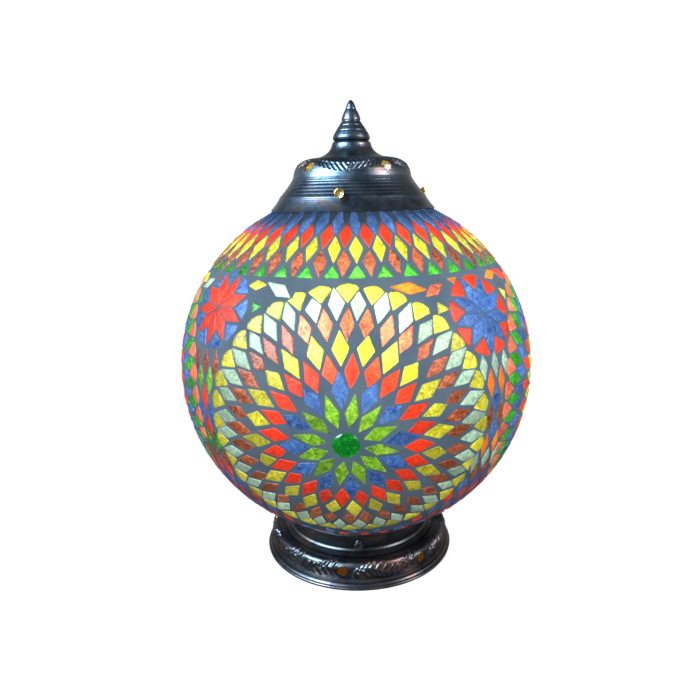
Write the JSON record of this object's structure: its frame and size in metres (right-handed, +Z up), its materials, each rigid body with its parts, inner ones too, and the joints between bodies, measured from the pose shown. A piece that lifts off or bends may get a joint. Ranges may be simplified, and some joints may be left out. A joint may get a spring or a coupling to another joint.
{
  "type": "mosaic glass table lamp",
  "caption": "Table lamp: a glass globe tiled with a coloured mosaic, held between a pressed metal foot and a pierced cap with a finial.",
  "frame": {"origin": "on the lamp's axis at the underside of the felt pad", "axes": "+Z up along the lamp's axis, -Y towards the front medallion's side"},
  "size_m": [0.301, 0.301, 0.39],
  "materials": {
    "antique_metal": "antiqued, satin, dark blue-grey",
    "brass": "polished",
    "zinc_steel": "zinc plated",
    "clear_glass": "blown, smooth",
    "mosaic": "coloured glass tiles in blue-grey grout",
    "green_glass": "moulded, glossy",
    "felt": "felt",
    "board": "pressed fibre board",
    "circuit_board": "circuit board",
    "rubber": "matt",
    "black_plastic": "matt",
    "white_plastic": "satin",
    "opal": "opal, lit, emissive",
    "ceramic": "unglazed",
    "aluminium": "plain"
  },
  "bodies": {
    "lamp_base": {"felt_pad": "felt", "bottom_cover": "board", "foot_shell": "antique_metal", "cord_grommet": "rubber", "fitter_gallery": "antique_metal", "riser_tube": "zinc_steel", "lower_washer": "zinc_steel", "lower_lock_nut": "zinc_steel", "upper_washer": "zinc_steel", "upper_lock_nut": "zinc_steel", "riser_sleeve": "brass", "lampholder_cap": "black_plastic", "lampholder_body": "black_plastic", "lampholder_core": "ceramic", "lampholder_screw_shell": "brass", "lampholder_contact": "brass", "terminal_screw_1": "brass", "terminal_screw_2": "brass", "gallery_screw_nut_1": "zinc_steel", "gallery_screw_nut_2": "zinc_steel", "gallery_screw_nut_3": "zinc_steel"},
    "globe": {"globe_glass": "clear_glass", "mosaic_skin": "mosaic", "medallion_gem_1": "green_glass", "medallion_gem_2": "green_glass", "medallion_gem_3": "green_glass", "medallion_gem_4": "green_glass"},
    "cap": {"cap_shell": "antique_metal", "finial": "antique_metal", "finial_stud": "zinc_steel", "finial_washer": "zinc_steel", "finial_nut": "zinc_steel", "cap_screw_nut_1": "zinc_steel", "cap_screw_nut_2": "zinc_steel", "cap_screw_nut_3": "zinc_steel"},
    "bulb_tip": {"bulb_contact": "zinc_steel"},
    "bulb": {"bulb_insulator": "black_plastic", "bulb_screw_cap": "zinc_steel", "bulb_body": "white_plastic", "bulb_led_board": "aluminium", "bulb_driver": "circuit_board", "bulb_diffuser": "opal"},
    "gallery_screw_1": {"gallery_screw_stud_1": "zinc_steel"},
    "gallery_screw_1_head": {"gallery_screw_head_1": "antique_metal"},
    "gallery_screw_2": {"gallery_screw_stud_2": "zinc_steel"},
    "gallery_screw_2_head": {"gallery_screw_head_2": "antique_metal"},
    "gallery_screw_3": {"gallery_screw_stud_3": "zinc_steel"},
    "gallery_screw_3_head": {"gallery_screw_head_3": "antique_metal"},
    "cap_screw_1": {"cap_screw_stud_1": "zinc_steel"},
    "cap_screw_1_head": {"cap_screw_head_1": "brass"},
    "cap_screw_2": {"cap_screw_stud_2": "zinc_steel"},
    "cap_screw_2_head": {"cap_screw_head_2": "brass"},
    "cap_screw_3": {"cap_screw_stud_3": "zinc_steel"},
    "cap_screw_3_head": {"cap_screw_head_3": "brass"}
  },
  "joints": [
    {"name": "globe_lift", "type": "slide", "parent": "lamp_base", "child": "globe", "axis": [0, 0, 1], "range_m": [0, 0.24]},
    {"name": "cap_lift", "type": "slide", "parent": "globe", "child": "cap", "axis": [0, 0, 1], "range_m": [0, 0.06]},
    {"name": "bulb_travel", "type": "slide", "parent": "lamp_base", "child": "bulb_tip", "axis": [0, 0, 1], "range_m": [0, 0.01815]},
    {"name": "bulb_turn", "type": "hinge", "parent": "bulb_tip", "child": "bulb", "pos_m": [0, 0, 0.13], "axis": [0, 0, 1], "range_deg": [0, 1801]},
    {"name": "gallery_screw_1_travel", "type": "slide", "parent": "lamp_base", "child": "gallery_screw_1", "axis": [-0.0087, -1, 0], "range_m": [0, 0.0021]},
    {"name": "gallery_screw_1_turn", "type": "hinge", "parent": "gallery_screw_1", "child": "gallery_screw_1_head", "pos_m": [-0.00056, -0.0646, 0.0317], "axis": [-0.0087, -1, 0], "range_deg": [0, 1081]},
    {"name": "gallery_screw_2_travel", "type": "slide", "parent": "lamp_base", "child": "gallery_screw_2", "axis": [0.8704, 0.4924, 0], "range_m": [0, 0.0021]},
    {"name": "gallery_screw_2_turn", "type": "hinge", "parent": "gallery_screw_2", "child": "gallery_screw_2_head", "pos_m": [0.05622, 0.03181, 0.0317], "axis": [0.8704, 0.4924, 0], "range_deg": [0, 1081]},
    {"name": "gallery_screw_3_travel", "type": "slide", "parent": "lamp_base", "child": "gallery_screw_3", "axis": [-0.8616, 0.5075, 0], "range_m": [0, 0.0021]},
    {"name": "gallery_screw_3_turn", "type": "hinge", "parent": "gallery_screw_3", "child": "gallery_screw_3_head", "pos_m": [-0.05566, 0.03279, 0.0317], "axis": [-0.8616, 0.5075, 0], "range_deg": [0, 1081]},
    {"name": "cap_screw_1_travel", "type": "slide", "parent": "cap", "child": "cap_screw_1", "axis": [-0.1461, -0.9893, 0], "range_m": [0, 0.0021]},
    {"name": "cap_screw_1_turn", "type": "hinge", "parent": "cap_screw_1", "child": "cap_screw_1_head", "pos_m": [-0.00894, -0.06054, 0.3176], "axis": [-0.1461, -0.9893, 0], "range_deg": [0, 1081]},
    {"name": "cap_screw_2_travel", "type": "slide", "parent": "cap", "child": "cap_screw_2", "axis": [0.9298, 0.3681, 0], "range_m": [0, 0.0021]},
    {"name": "cap_screw_2_turn", "type": "hinge", "parent": "cap_screw_2", "child": "cap_screw_2_head", "pos_m": [0.0569, 0.02253, 0.3176], "axis": [0.9298, 0.3681, 0], "range_deg": [0, 1081]},
    {"name": "cap_screw_3_travel", "type": "slide", "parent": "cap", "child": "cap_screw_3", "axis": [-0.7837, 0.6211, 0], "range_m": [0, 0.0021]},
    {"name": "cap_screw_3_turn", "type": "hinge", "parent": "cap_screw_3", "child": "cap_screw_3_head", "pos_m": [-0.04796, 0.03801, 0.3176], "axis": [-0.7837, 0.6211, 0], "range_deg": [0, 1081]}
  ],
  "couplings": [
    {"joint": "bulb_turn", "follows": "bulb_travel", "rad_per_m": 1730.9},
    {"joint": "gallery_screw_1_turn", "follows": "gallery_screw_1_travel", "rad_per_m": 8976},
    {"joint": "gallery_screw_2_turn", "follows": "gallery_screw_2_travel", "rad_per_m": 8976},
    {"joint": "gallery_screw_3_turn", "follows": "gallery_screw_3_travel", "rad_per_m": 8976},
    {"joint": "cap_screw_1_turn", "follows": "cap_screw_1_travel", "rad_per_m": 8976},
    {"joint": "cap_screw_2_turn", "follows": "cap_screw_2_travel", "rad_per_m": 8976},
    {"joint": "cap_screw_3_turn", "follows": "cap_screw_3_travel", "rad_per_m": 8976}
  ]
}
